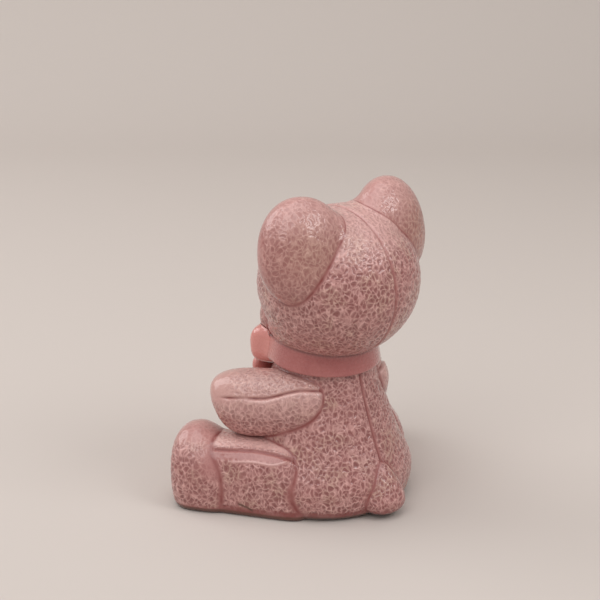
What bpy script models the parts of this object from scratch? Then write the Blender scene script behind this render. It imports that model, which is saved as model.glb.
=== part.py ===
"""Seated bear figurine in slip-cast, glazed earthenware.

The figurine is a set of castings luted together with slip and glazed as one: a hollow torso and a hollow
head, solid ears, arms, legs, feet and tail, a modelled muzzle, nose and eyes, and a ribbon with its bow.
Metres, +Z up. The bear faces -Y, its left side is +X, and it sits on the plane Z = 0.
"""

import math

import bmesh
import bpy
from mathutils import Matrix, Vector

# Clearance left at every luted joint, where the slip line runs.
JOINT_GAP = 0.0003
# Thickness of the slip-cast wall of the torso and the head.
WALL = 0.0040
# A cutter runs this far past the wall that it pierces.
OVERRUN = 0.0020
# Edges sharper than this stay crisp.
CRISP_ANGLE = math.radians(40)
# The sewn-looking seams are shallow grooves.
SEAM_DEPTH = 0.0009
SEAM_HALF_WIDTH = 0.0012
# The torso, the head and the ribbon are meshed with a line down the middle of the back and the front.
MIDDLE_SEAMS = (math.pi / 2, 3 * math.pi / 2)
# Mesh lines beside a seam: the nearest two, and how far off the others stay, in steps of the ring.
SEAM_FLANK_SHARE = 0.45
SEAM_MARGIN_SHARE = 0.7

# Torso: a round tub that is widest low down and sweeps in to the neck.
BASE_RADIUS = 0.0285
BELLY_HALF_WIDTH = 0.0335
BELLY_HALF_DEPTH = 0.0330
BELLY_HEIGHT = 0.0115
NECK_RADIUS = 0.0184
NECK_HEIGHT = 0.0540
NECK_COLUMN = 0.0180
NECK_NARROWING = 0.0030
SHOULDER_POWER = 1.36
BELLY_ROUNDING_SHARE = 0.10
# Rows of points between the base and the widest height, as shares of it.
UNDERCURVE_ROWS = (0, 0.04, 0.14, 0.32, 0.6, 1)
VENT_RADIUS = 0.0050
THROAT_RADIUS = 0.0070

# Head: an ellipsoid that rests in the cup of the neck, a little behind its axis.
HEAD_HALF_WIDTH = 0.0304
HEAD_HALF_DEPTH = 0.0286
HEAD_HALF_HEIGHT = 0.0272
HEAD_RISE = 0.0036
HEAD_SET_BACK = 0.0074

# Ears: thick ovals on the upper corners of the head, cupped forward, with a dished front.
EAR_HALF_WIDTH = 0.0159
EAR_HALF_HEIGHT = 0.0196
EAR_HALF_THICKNESS = 0.0115
EAR_ELEVATION = math.radians(38.5)
EAR_AZIMUTH = math.radians(10)
EAR_SINK = 0.0016
EAR_CUP = math.radians(18)
EAR_BLUNT = (2.15, 2.1)
EAR_LEAN = math.radians(7)
EAR_TURN = math.radians(8)
EAR_DISH_DEPTH = 0.0050
EAR_DISH_SHARE = 0.74

# Muzzle, nose and eyes on the front of the head.
MUZZLE_HALF_WIDTH = 0.0176
MUZZLE_HALF_DEPTH = 0.0100
MUZZLE_HALF_HEIGHT = 0.0115
MUZZLE_ELEVATION = math.radians(-39)
MUZZLE_SINK = 0.0005
MUZZLE_BLUNT = (2.1, 2.1)
NOSE_HALF_WIDTH = 0.0042
NOSE_HALF_DEPTH = 0.0026
NOSE_HALF_HEIGHT = 0.0030
NOSE_ELEVATION = math.radians(38)
EYE_RADIUS = 0.0027
EYE_BULGE = 0.0017
EYE_ELEVATION = math.radians(6)
EYE_SPREAD = math.radians(24)

# Arms: blunt mitts held out along the sides.
ARM_HALF_LENGTH = 0.0216
ARM_HALF_WIDTH = 0.0110
ARM_HALF_HEIGHT = 0.0124
ARM_HEIGHT = 0.0388
ARM_AZIMUTH = math.radians(-13)
ARM_STANDOFF = -0.0014
ARM_SPLAY = math.radians(31)
ARM_DIP = math.radians(5)
ARM_SEAM = math.radians(22)
ARM_BLUNT = (2.3, 3.4)
ARM_TAPER_SHARE = 0.04
ARM_LEAN = (-0.03, 0.12)
ARM_REACH = 0.0014

# Legs and feet: chubby legs splayed outwards, each with an upright foot. Both sit flat on the ground.
LEG_HALF_LENGTH = 0.0218
LEG_HALF_WIDTH = 0.0134
LEG_HEIGHT = 0.0264
LEG_AZIMUTH = math.radians(-12)
LEG_SINK = 0.0045
LEG_SPLAY = math.radians(31)
LEG_SEAM = math.radians(60)
LEG_BLUNT = (2.8, 6.0)
LEG_LEAN = (0.15, 0.0)
LEG_REACH = 0.0015
FOOT_REACH = 0.0178
FOOT_HALF_WIDTH = 0.0150
FOOT_HEIGHT = 0.0299
FOOT_HALF_THICKNESS = 0.0124
SOLE_DISH_DEPTH = 0.0006
SOLE_DISH_SHARE = 0.72
FOOT_BLUNT = (2.3, 3.2)
FOOT_LEAN = (0.10, 0.0)
# Heights of the widest sections of a leg and a foot, as shares of their own heights.
LEG_WIDEST_SHARE = 0.32
FOOT_WIDEST_SHARE = 0.35

# Tail: a wedge that lies against the back and ends just over the ground.
TAIL_RADIUS = 0.0074
TAIL_HALF_HEIGHT = 0.0098
TAIL_LIFT = 0.0006
TAIL_STANDOFF = -0.0027
TAIL_TAPER_SHARE = -0.60
TAIL_BLUNT = (2.2, 2.2)

# Ribbon and bow.
RIBBON_THICKNESS = 0.0022
RIBBON_RISE = -0.0006
RIBBON_TILT = 0.06
RIBBON_WIDTH = 0.0086
RIBBON_EDGE = 0.0006
BOW_SAG = 0.0012
LOOP_HALF_LENGTH = 0.0088
LOOP_HALF_THICKNESS = 0.0046
LOOP_HALF_HEIGHT = 0.0067
LOOP_SWEEP = math.radians(24)
LOOP_TUCK = 0.0030
LOOP_STANDOFF = -0.0008
KNOT_HALF_WIDTH = 0.0034
KNOT_HALF_DEPTH = 0.0032
KNOT_HALF_HEIGHT = 0.0044
KNOT_STANDOFF = 0.0014
BOW_TAIL_HALF_LENGTH = 0.0078
BOW_TAIL_HALF_THICKNESS = 0.0024
BOW_TAIL_HALF_HEIGHT = 0.0040
BOW_TAIL_DROOP = math.radians(22)
BOW_TAIL_DROP = 0.0092
BOW_TAIL_TUCK = 0.0029
BOW_TAIL_STANDOFF = 0.0007
BOW_BLUNT = (2.4, 2.4)
BOW_FLARE_SHARE = 0.3

LEFT = 1
RIGHT = -1
SIDES = {"left": LEFT, "right": RIGHT}

Z_AXIS = Vector((0, 0, 1))
FORWARD = Vector((0, -1, 0))

ROSE_GLAZE = ("rose_glaze", (0.46, 0.215, 0.205), 0.22)
RIBBON_GLAZE = ("ribbon_glaze", (0.37, 0.120, 0.115), 0.16)
DARK_GLAZE = ("dark_glaze", (0.035, 0.018, 0.016), 0.12)


def clear_scene():
    for obj in list(bpy.data.objects):
        bpy.data.objects.remove(obj)


def glaze(name, colour, roughness):
    material = bpy.data.materials.get(name)
    if material:
        return material
    material = bpy.data.materials.new(name)
    material.use_nodes = True
    shader = material.node_tree.nodes["Principled BSDF"]
    shader.inputs["Base Color"].default_value = (*colour, 1)
    shader.inputs["Roughness"].default_value = roughness
    shader.inputs["Metallic"].default_value = 0
    return material


def add_object(name, bm, matrix, finish):
    """Makes a smooth-shaded object from bm, whose points are in the matrix's own frame."""
    bmesh.ops.recalc_face_normals(bm, faces=bm.faces)
    mesh = bpy.data.meshes.new(name)
    bm.to_mesh(mesh)
    bm.free()
    mesh.materials.append(glaze(*finish))
    mesh.shade_smooth()
    mesh.set_sharp_from_angle(angle=CRISP_ANGLE)
    obj = bpy.data.objects.new(name, mesh)
    bpy.context.scene.collection.objects.link(obj)
    obj.matrix_world = matrix
    return obj


def as_cutter(obj):
    obj.hide_render = True
    obj.display_type = "WIRE"
    return obj


def carve(obj, cutters):
    for cutter in cutters:
        cut = obj.modifiers.new(f"clear_of_{cutter.name}", "BOOLEAN")
        cut.operation = "DIFFERENCE"
        cut.object = cutter
    return obj


def loft(rings, bottom_pole=None, top_pole=None):
    """A skin through rings of equal length, each end closed by a fan to its pole or by one flat face."""
    bm = bmesh.new()
    loops = [[bm.verts.new(point) for point in ring] for ring in rings]
    count = len(loops[0])
    for lower, upper in zip(loops, loops[1:]):
        for i in range(count):
            j = (i + 1) % count
            bm.faces.new((lower[i], lower[j], upper[j], upper[i]))
    for loop, pole in ((loops[0], bottom_pole), (loops[-1], top_pole)):
        if pole is None:
            bm.faces.new(loop)
            continue
        tip = bm.verts.new(pole)
        for i in range(count):
            bm.faces.new((loop[i], loop[(i + 1) % count], tip))
    return bm


def seamed_angles(segments, seams):
    """Even angles round a ring, with one on each seam and two more close beside it."""
    step = math.tau / segments
    angles = [seam + side * SEAM_FLANK_SHARE * step for seam in seams for side in (-1, 0, 1)]
    for i in range(segments):
        angle = i * step
        if all(abs(math.remainder(angle - seam, math.tau)) > SEAM_MARGIN_SHARE * step for seam in seams):
            angles.append(angle)
    return sorted(angle % math.tau for angle in angles)


def seam_sink(distance):
    return SEAM_DEPTH * math.exp(-((distance / SEAM_HALF_WIDTH) ** 2))


def torso_radii(height):
    """Half-width and half-depth of the torso at a height."""
    if height < BELLY_HEIGHT:
        swell = math.sqrt(1 - (1 - max(height, 0) / BELLY_HEIGHT) ** 2)
        return (
            BASE_RADIUS + (BELLY_HALF_WIDTH - BASE_RADIUS) * swell,
            BASE_RADIUS + (BELLY_HALF_DEPTH - BASE_RADIUS) * swell,
        )
    if height > NECK_HEIGHT:
        narrowed = NECK_NARROWING * (height - NECK_HEIGHT) / NECK_COLUMN
        return NECK_RADIUS - narrowed, NECK_RADIUS - narrowed
    rise = (height - BELLY_HEIGHT) / (NECK_HEIGHT - BELLY_HEIGHT)
    eased = math.hypot(rise, BELLY_ROUNDING_SHARE) - BELLY_ROUNDING_SHARE
    eased /= math.hypot(1, BELLY_ROUNDING_SHARE) - BELLY_ROUNDING_SHARE
    share = (1 - eased) ** SHOULDER_POWER
    return (
        NECK_RADIUS + (BELLY_HALF_WIDTH - NECK_RADIUS) * share,
        NECK_RADIUS + (BELLY_HALF_DEPTH - NECK_RADIUS) * share,
    )


def torso_point(height, azimuth, lift=0.0, seamed=False):
    """A point on the torso, at an angle from +X towards +Y, lifted off its surface."""
    half_width, half_depth = torso_radii(height)
    x = (half_width + lift) * math.cos(azimuth)
    y = (half_depth + lift) * math.sin(azimuth)
    if seamed:
        y -= math.copysign(seam_sink(x), y)
    return Vector((x, y, height))


def torso_form(name, lift=0.0, seamed=False, segments=36):
    angles = seamed_angles(segments, MIDDLE_SEAMS)
    heights = [BELLY_HEIGHT * share for share in UNDERCURVE_ROWS]
    heights += [BELLY_HEIGHT + (NECK_HEIGHT - BELLY_HEIGHT) * i / 9 for i in range(1, 10)]
    heights += [NECK_HEIGHT + NECK_COLUMN]
    rings = [[torso_point(h, a, lift, seamed) for a in angles] for h in heights]
    for point in rings[0]:
        point.z -= lift
    for point in rings[-1]:
        point.z += lift
    return add_object(name, loft(rings), Matrix.Identity(4), ROSE_GLAZE)


def torso_cavity():
    """The hollow of the torso, with the vent through its base and its open neck."""
    segments = 20
    angles = [math.tau * i / segments for i in range(segments)]
    rings = [
        [Vector((VENT_RADIUS * math.cos(a), VENT_RADIUS * math.sin(a), z)) for a in angles]
        for z in (-OVERRUN, WALL)
    ]
    heights = [WALL + (BELLY_HEIGHT - WALL) * share for share in UNDERCURVE_ROWS[1:]]
    heights += [BELLY_HEIGHT + (NECK_HEIGHT - BELLY_HEIGHT) * i / 4 for i in range(1, 5)]
    heights += [NECK_HEIGHT + NECK_COLUMN + OVERRUN]
    rings += [[torso_point(height, a, -WALL) for a in angles] for height in heights]
    return as_cutter(add_object("torso_cavity", loft(rings), Matrix.Identity(4), ROSE_GLAZE))


def head_centre():
    height = NECK_HEIGHT + HEAD_HALF_HEIGHT + HEAD_RISE
    return Vector((0, HEAD_SET_BACK, height))


def on_head(elevation, azimuth, lift=0.0):
    """A point on the head from its angles at the centre: azimuth from +X towards +Y."""
    x = (HEAD_HALF_WIDTH + lift) * math.cos(elevation) * math.cos(azimuth)
    y = (HEAD_HALF_DEPTH + lift) * math.cos(elevation) * math.sin(azimuth)
    z = (HEAD_HALF_HEIGHT + lift) * math.sin(elevation)
    return Vector((x, y, z))


def head_form(name, lift=0.0, seamed=False, segments=36, rows=16):
    angles = seamed_angles(segments, MIDDLE_SEAMS)
    rings = []
    for row in range(1, rows):
        elevation = math.pi * (row / rows - 0.5)
        ring = [on_head(elevation, a, lift) for a in angles]
        if seamed:
            ring = [point * (1 - seam_sink(point.x) / point.length) for point in ring]
        rings.append(ring)
    sink = SEAM_DEPTH if seamed else 0
    tip = Vector((0, 0, HEAD_HALF_HEIGHT + lift - sink))
    return add_object(name, loft(rings, -tip, tip), Matrix.Translation(head_centre()), ROSE_GLAZE)


def throat_form():
    """The opening in the bottom of the head that joins its hollow to the torso's."""
    bm = bmesh.new()
    depth = 2 * WALL + 2 * OVERRUN
    bmesh.ops.create_cone(
        bm, cap_ends=True, segments=20, radius1=THROAT_RADIUS, radius2=THROAT_RADIUS, depth=depth
    )
    bottom = head_centre().z - HEAD_HALF_HEIGHT
    place = Matrix.Translation((0, HEAD_SET_BACK, bottom + WALL / 2))
    return as_cutter(add_object("throat", bm, place, ROSE_GLAZE))


# A round casting without a dish, and with no lean.
ROUND = (2.0, 2.0)
FLUSH = (0.0, 1.0)
UPRIGHT = (0.0, 0.0)


class Pebble:
    """A rounded casting: an ellipsoid, blunted towards a box, tapered along its pole, dished at one end.

    half is its half-size across, up and along the pole. blunt holds two powers, 2 for round and more for
    boxy: one for the section across the pole, one for the profile along it. lean holds a slant, which moves the
    casting along its pole by so much for each metre up, and a keel, by which its top is longer than its
    middle. seams are angles round the pole, from across towards up, where
    a groove runs. Every form can be drawn grown by a margin, which is how a neighbour is cut back to leave
    the joint gap. What would reach below the ground is pressed flat on it."""

    def __init__(self, half, centre, pole, up=Z_AXIS, blunt=ROUND, taper=0.0, dish=FLUSH, lean=UPRIGHT, seams=()):
        self.half = Vector(half)
        self.centre = Vector(centre)
        self.pole = Vector(pole).normalized()
        self.up = (Vector(up) - Vector(up).dot(self.pole) * self.pole).normalized()
        self.blunt = blunt
        self.taper = taper
        self.dish = dish
        self.lean = lean
        self.seams = seams

    def mirrored(self, side):
        """The same casting for the left or the right side of the bear."""
        flip = Vector((side, 1, 1))
        seams = self.seams if side == LEFT else tuple(math.pi - seam for seam in self.seams)
        pole = self.pole * flip
        up = self.up * flip
        shape = (self.blunt, self.taper, self.dish, self.lean)
        return Pebble(self.half, self.centre * flip, pole, up, *shape, seams)

    def local(self, turn, rise, grow):
        """A point from its angle round the pole and its angle up the pole."""
        direction = Vector(
            (math.cos(rise) * math.cos(turn), math.cos(rise) * math.sin(turn), math.sin(rise))
        )
        n, m = self.blunt
        across = (abs(direction.x) ** n + abs(direction.y) ** n) ** (1 / n)
        p = direction / (across**m + abs(direction.z) ** m) ** (1 / m)
        narrow = 1 + self.taper * p.z
        point = Vector(
            (
                (self.half.x * narrow + grow) * p.x,
                (self.half.y * narrow + grow) * p.y,
                (self.half.z + grow) * p.z,
            )
        )
        depth, share = self.dish
        radius = math.hypot(p.x, p.y) / share
        if p.z > 0 and radius < 1:
            point.z -= depth * (1 - radius**2) ** 2
        slant, keel = self.lean
        point.z += slant * point.y + keel * p.y * point.z
        for seam in self.seams:
            along = Vector((math.cos(seam), math.sin(seam), 0))
            if point.dot(along) > 0:
                distance = point.cross(along).z
                point -= along * seam_sink(distance) * math.sqrt(math.cos(rise))
        return point

    def form(self, name, finish, segments=20, rows=12, grow=0.0):
        across = self.up.cross(self.pole)
        turn = Matrix((across, self.up, self.pole)).transposed()
        frame = Matrix.Translation(self.centre) @ turn.to_4x4()
        down = turn.transposed() @ Z_AXIS

        def grounded(point):
            return point + down * max(0, -grow - (frame @ point).z)

        angles = seamed_angles(segments, self.seams)
        rises = [math.pi * (row / rows - 0.5) for row in range(1, rows)]
        rings = [[grounded(self.local(a, rise, grow)) for a in angles] for rise in rises]
        poles = [grounded(self.local(0, end, grow)) for end in (-math.pi / 2, math.pi / 2)]
        bm = loft(rings, *poles)
        bmesh.ops.triangulate(bm, faces=bm.faces, quad_method="FIXED")
        return add_object(name, bm, frame, finish)

    def cutter(self, name, segments=20, rows=12):
        shape = (self.blunt, self.taper, self.dish, self.lean)
        smooth = Pebble(self.half, self.centre, self.pole, self.up, *shape)
        return as_cutter(smooth.form(name, ROSE_GLAZE, segments, rows, JOINT_GAP))


def outward(splay):
    """The level direction that a left limb points in, turned out from straight ahead."""
    return Vector((math.sin(splay), -math.cos(splay), 0))


def ear_pebble():
    seat = head_centre() + on_head(EAR_ELEVATION, EAR_AZIMUTH, -EAR_SINK)
    level = math.cos(EAR_LEAN)
    front = (-math.sin(EAR_CUP) * level, -math.cos(EAR_CUP) * level, -math.sin(EAR_LEAN))
    half = (EAR_HALF_WIDTH, EAR_HALF_HEIGHT, EAR_HALF_THICKNESS)
    up = (-math.sin(EAR_TURN), 0, math.cos(EAR_TURN))
    return Pebble(half, seat, front, up, blunt=EAR_BLUNT, dish=(EAR_DISH_DEPTH, EAR_DISH_SHARE))


def muzzle_pebble():
    seat = head_centre() + on_head(MUZZLE_ELEVATION, -math.pi / 2, -MUZZLE_SINK)
    half = (MUZZLE_HALF_WIDTH, MUZZLE_HALF_HEIGHT, MUZZLE_HALF_DEPTH)
    return Pebble(half, seat, FORWARD, blunt=MUZZLE_BLUNT)


def nose_pebble():
    muzzle = muzzle_pebble()
    pole = Vector((0, -math.cos(NOSE_ELEVATION), math.sin(NOSE_ELEVATION)))
    seat = muzzle.centre + Vector((0, pole.y * MUZZLE_HALF_DEPTH, pole.z * MUZZLE_HALF_HEIGHT))
    return Pebble((NOSE_HALF_WIDTH, NOSE_HALF_HEIGHT, NOSE_HALF_DEPTH), seat, pole, blunt=MUZZLE_BLUNT)


def eye_pebble():
    seat = on_head(EYE_ELEVATION, EYE_SPREAD - math.pi / 2)
    slope = (seat.x / HEAD_HALF_WIDTH**2, seat.y / HEAD_HALF_DEPTH**2, seat.z / HEAD_HALF_HEIGHT**2)
    return Pebble((EYE_RADIUS, EYE_RADIUS, EYE_BULGE), head_centre() + seat, slope)


def arm_pebble():
    seat = torso_point(ARM_HEIGHT, ARM_AZIMUTH, ARM_STANDOFF)
    half = (ARM_HALF_WIDTH, ARM_HALF_HEIGHT, ARM_HALF_LENGTH)
    level = outward(ARM_SPLAY) * math.cos(ARM_DIP)
    pole = level - Z_AXIS * math.sin(ARM_DIP)
    seat += pole * ARM_REACH
    seams = (ARM_SEAM, math.pi - ARM_SEAM)
    return Pebble(half, seat, pole, blunt=ARM_BLUNT, taper=ARM_TAPER_SHARE, lean=ARM_LEAN, seams=seams)


def leg_pebble():
    seat = torso_point(LEG_HEIGHT * LEG_WIDEST_SHARE, LEG_AZIMUTH, -LEG_SINK)
    seat += outward(LEG_SPLAY) * LEG_REACH
    half = (LEG_HALF_WIDTH, LEG_HEIGHT * (1 - LEG_WIDEST_SHARE), LEG_HALF_LENGTH)
    return Pebble(half, seat, outward(LEG_SPLAY), blunt=LEG_BLUNT, lean=LEG_LEAN, seams=(LEG_SEAM,))


def foot_pebble():
    seat = leg_pebble().centre + outward(LEG_SPLAY) * FOOT_REACH
    seat.z = FOOT_HEIGHT * FOOT_WIDEST_SHARE
    half = (FOOT_HALF_WIDTH, FOOT_HEIGHT * (1 - FOOT_WIDEST_SHARE), FOOT_HALF_THICKNESS)
    dish = (SOLE_DISH_DEPTH, SOLE_DISH_SHARE)
    return Pebble(half, seat, outward(LEG_SPLAY), blunt=FOOT_BLUNT, dish=dish, lean=FOOT_LEAN)


def tail_pebble():
    seat = torso_point(TAIL_LIFT + TAIL_HALF_HEIGHT, math.pi / 2, TAIL_STANDOFF)
    half = (TAIL_RADIUS, TAIL_RADIUS, TAIL_HALF_HEIGHT)
    return Pebble(half, seat, Z_AXIS, FORWARD, blunt=TAIL_BLUNT, taper=TAIL_TAPER_SHARE)


def ribbon_form(name, grow=0.0, segments=36):
    """The band round the neck, which follows the torso one joint gap off its surface and rises forwards."""
    angles = seamed_angles(segments, MIDDLE_SEAMS)
    bottom = NECK_HEIGHT + RIBBON_RISE - grow
    top = NECK_HEIGHT + RIBBON_RISE + RIBBON_WIDTH + grow
    inner = JOINT_GAP - grow
    outer = JOINT_GAP + RIBBON_THICKNESS + grow
    section = [
        (bottom, inner),
        (bottom, outer - RIBBON_EDGE),
        (bottom + RIBBON_EDGE, outer),
        (top - RIBBON_EDGE, outer),
        (top, outer - RIBBON_EDGE),
        (top, inner),
    ]
    bm = bmesh.new()
    rises = [-RIBBON_TILT * NECK_RADIUS * math.sin(a) for a in angles]
    loops = [
        [bm.verts.new(torso_point(z + rise, a, lift)) for z, lift in section]
        for a, rise in zip(angles, rises)
    ]
    for here, ahead in zip(loops, loops[1:] + loops[:1]):
        for i in range(len(section)):
            j = (i + 1) % len(section)
            bm.faces.new((here[i], here[j], ahead[j], ahead[i]))
    return add_object(name, bm, Matrix.Identity(4), RIBBON_GLAZE)


def bow_height():
    return NECK_HEIGHT + RIBBON_RISE + RIBBON_WIDTH / 2 - BOW_SAG


def ribbon_front():
    """How far the front of the ribbon stands from the neck's axis."""
    return NECK_RADIUS + JOINT_GAP + RIBBON_THICKNESS


def knot_pebble():
    centre = Vector((0, -ribbon_front() - KNOT_STANDOFF, bow_height()))
    return Pebble((KNOT_HALF_WIDTH, KNOT_HALF_HEIGHT, KNOT_HALF_DEPTH), centre, FORWARD, blunt=BOW_BLUNT)


def loop_pebble():
    out = KNOT_HALF_WIDTH + LOOP_HALF_LENGTH - LOOP_TUCK
    centre = Vector((out, -ribbon_front() - LOOP_STANDOFF, bow_height()))
    half = (LOOP_HALF_THICKNESS, LOOP_HALF_HEIGHT, LOOP_HALF_LENGTH)
    pole = (math.cos(LOOP_SWEEP), math.sin(LOOP_SWEEP), 0)
    return Pebble(half, centre, pole, blunt=BOW_BLUNT, taper=BOW_FLARE_SHARE)


def bow_tail_pebble():
    out = KNOT_HALF_WIDTH + BOW_TAIL_HALF_LENGTH - BOW_TAIL_TUCK
    centre = Vector((out, -ribbon_front() - BOW_TAIL_STANDOFF, bow_height() - BOW_TAIL_DROP))
    pole = Vector((math.cos(BOW_TAIL_DROOP), 0, -math.sin(BOW_TAIL_DROOP)))
    half = (BOW_TAIL_HALF_THICKNESS, BOW_TAIL_HALF_HEIGHT, BOW_TAIL_HALF_LENGTH)
    return Pebble(half, centre, pole, blunt=BOW_BLUNT, taper=BOW_FLARE_SHARE)


def reach(obj):
    """The lowest and highest corners of an object's own mesh, where it stands."""
    points = [obj.matrix_world @ vertex.co for vertex in obj.data.vertices]
    return [[pick(point[axis] for point in points) for axis in range(3)] for pick in (min, max)]


def boxes_meet(one, other):
    (low_one, high_one), (low_other, high_other) = reach(one), reach(other)
    return all(low_one[i] < high_other[i] and low_other[i] < high_one[i] for i in range(3))


class Figurine:
    """The castings in the order in which they are luted on, each cut back from those before it."""

    def __init__(self):
        self.cutters = []

    def lute(self, obj, cutter, fitted=()):
        """Adds a casting. Those in fitted need no cut, because its own form already clears them."""
        around = [other for other in self.cutters if other not in fitted and boxes_meet(obj, other)]
        carve(obj, around)
        self.cutters.append(cutter)

    def press(self, name, pebble, finish, segments=20, rows=14):
        obj = pebble.form(name, finish, segments, rows)
        self.lute(obj, pebble.cutter(f"{name}_cutter", segments, rows))

    def press_pair(self, name, pebble, finish, segments=20, rows=14):
        """The name has braces where left or right goes."""
        for side_name, side in SIDES.items():
            self.press(name.format(side_name), pebble.mirrored(side), finish, segments, rows)


def build_castings():
    figurine = Figurine()
    torso_cutter = as_cutter(torso_form("torso_cutter", JOINT_GAP))
    head_cutter = as_cutter(head_form("head_cutter", JOINT_GAP))
    head_cavity = as_cutter(head_form("head_cavity", -WALL, segments=20, rows=11))
    ribbon_cutter = as_cutter(ribbon_form("ribbon_cutter", JOINT_GAP))
    torso = carve(torso_form("torso", seamed=True), [torso_cavity(), head_cutter])
    head = carve(head_form("head", seamed=True), [head_cavity, throat_form()])

    figurine.lute(torso, torso_cutter)
    figurine.lute(head, head_cutter, fitted=[torso_cutter])
    figurine.lute(ribbon_form("neck_ribbon"), ribbon_cutter, fitted=[torso_cutter])

    figurine.press("muzzle", muzzle_pebble(), ROSE_GLAZE, 22)
    figurine.press("nose", nose_pebble(), DARK_GLAZE, 14, 8)
    figurine.press_pair("{}_eye", eye_pebble(), DARK_GLAZE, 12, 8)
    figurine.press_pair("{}_ear", ear_pebble(), ROSE_GLAZE, 22)
    figurine.press_pair("{}_arm", arm_pebble(), ROSE_GLAZE)
    figurine.press_pair("{}_foot", foot_pebble(), ROSE_GLAZE, 22, 18)
    figurine.press_pair("{}_leg", leg_pebble(), ROSE_GLAZE)
    figurine.press("tail", tail_pebble(), ROSE_GLAZE, 16, 10)
    figurine.press("bow_knot", knot_pebble(), RIBBON_GLAZE, 16, 8)
    figurine.press_pair("bow_{}_loop", loop_pebble(), RIBBON_GLAZE, 18, 10)
    figurine.press_pair("bow_{}_tail", bow_tail_pebble(), RIBBON_GLAZE, 18, 10)


def centre_on_base():
    """Moves everything, by one empty, so that the origin is under the middle of the figurine."""
    bpy.context.view_layer.update()
    graph = bpy.context.evaluated_depsgraph_get()
    depths = []
    for obj in bpy.context.scene.objects:
        if not obj.hide_render:
            shown = obj.evaluated_get(graph)
            depths += [(shown.matrix_world @ vertex.co).y for vertex in shown.data.vertices]
    figurine = bpy.data.objects.new("figurine", None)
    bpy.context.scene.collection.objects.link(figurine)
    for obj in list(bpy.context.scene.objects):
        if obj is not figurine:
            obj.parent = figurine
    figurine.location.y = -(min(depths) + max(depths)) / 2
    bpy.context.view_layer.update()


def main():
    clear_scene()
    build_castings()
    centre_on_base()


main()
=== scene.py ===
"""A seated, slip-cast bear figurine with a pearly plush relief under its rose glaze.

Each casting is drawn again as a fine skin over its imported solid. Neighbours run into each other in soft
creases, as luted and glazed ware does, and the relief fades near creases, seams and the foot of the piece.
Metres, +Z up. The bear faces -Y, and its left side is +X.
"""

import math

import bpy
import numpy as np
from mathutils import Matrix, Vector


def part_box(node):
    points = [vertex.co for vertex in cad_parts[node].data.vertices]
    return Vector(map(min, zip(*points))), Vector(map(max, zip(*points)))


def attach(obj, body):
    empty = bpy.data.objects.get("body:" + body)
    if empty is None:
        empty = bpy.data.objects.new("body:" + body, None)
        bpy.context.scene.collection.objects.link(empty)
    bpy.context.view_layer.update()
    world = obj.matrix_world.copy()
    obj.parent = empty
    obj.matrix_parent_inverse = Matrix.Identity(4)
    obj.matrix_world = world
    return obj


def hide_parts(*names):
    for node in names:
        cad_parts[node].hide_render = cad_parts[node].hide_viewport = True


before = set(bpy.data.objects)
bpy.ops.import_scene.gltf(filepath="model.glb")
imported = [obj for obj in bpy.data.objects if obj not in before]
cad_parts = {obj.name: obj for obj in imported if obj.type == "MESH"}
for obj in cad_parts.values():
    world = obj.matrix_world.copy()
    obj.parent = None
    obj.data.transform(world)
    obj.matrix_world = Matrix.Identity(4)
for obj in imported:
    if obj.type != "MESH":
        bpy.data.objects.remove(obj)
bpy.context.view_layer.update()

MM = 0.001

# Torso.
BASE_RADIUS = 28.5 * MM
BELLY_HALF_WIDTH = 33.5 * MM
BELLY_HALF_DEPTH = 33.0 * MM
BELLY_HEIGHT = 11.5 * MM
NECK_RADIUS = 18.4 * MM
NECK_HEIGHT = 54.0 * MM
NECK_COLUMN = 18.0 * MM
NECK_NARROWING = 3.0 * MM
SHOULDER_POWER = 1.36
BELLY_ROUNDING = 0.10
WAIST_DEPTH = 1.9 * MM
WAIST_HEIGHT, WAIST_SPREAD = 22 * MM, 8 * MM
WAIST_SET_BACK, WAIST_LENGTH = 3 * MM, 15 * MM
WALL = 4.0 * MM
VENT_RADIUS = 5.0 * MM

# Head.
HEAD_HALF = np.array((30.4, 28.6, 27.2)) * MM
HEAD_RISE = 3.6 * MM
HEAD_SET_BACK = 7.4 * MM

# Joints: the clearance between the solids, and how softly the skins run into each other over it.
JOINT_GAP = 0.3 * MM
CREASE = 0.30 * MM
EAR_FILLET = 2.4 * MM
INSTEP_FILLET = 0.7 * MM
INSTEP_DROP = 5.5 * MM

# Seams.
SEAM_DEPTH = 0.62 * MM
SEAM_HALF_WIDTH = 0.50 * MM
SEAM_LIP = 0.10 * MM
SEAM_LIP_OFFSET, SEAM_LIP_SPREAD = 2.4, 0.9
SEAM_SHADE = 0.36 * MM
HEAD_SEAM_DEPTH = 0.50 * MM
HEAD_SEAM_SHARE = 0.75
ARM_SEAM_DEPTH = 0.65 * MM
ARM_SEAM_HALF_WIDTH = 0.42 * MM
ARM_SEAM_DROP = 1.2 * MM
ARM_SEAM_RISE = 3.4 * MM
ARM_SWELL = 0.45 * MM
ARM_LIP_HEIGHT = 0.12 * MM
ARM_LIP_HALF_WIDTH = 0.5 * MM
ARM_LIP_DROP = 1.2 * MM
LEG_ARCH = 1.5 * MM
LEG_BAND = 4.1 * MM
LEG_LINE_HEIGHT = 0.35 * MM
LEG_LINE_HALF_WIDTH = 0.34 * MM
# A flake of mould line low on the outside of the left leg: along the leg and up, in millimetres.
MOULD_FLAKE = ((2.2, 4.9), (0.2, 4.3), (-1.2, 3.8), (-2.2, 3.0))
FLAKE_DEPTH = 0.3 * MM
FLAKE_HALF_WIDTH = 0.45 * MM

# The foot of the piece: its rounded edge, and the darker band on it, of pooled glaze and painted contact
# shadow, lower on the feet.
BASE_EDGE = 1.8 * MM
BASE_EDGE_SHARE = 0.75
BASE_BAND = 4.6 * MM
FOOT_BAND = 2.9 * MM

# A distance in metres that stands for nothing near.
FAR = 1.0

# The figurine's box is centred, so the axis of the torso stands a little off the origin.
LOW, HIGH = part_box("torso")
AXIS = np.array((0.0, (LOW.y + HIGH.y) / 2, 0.0))

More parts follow.
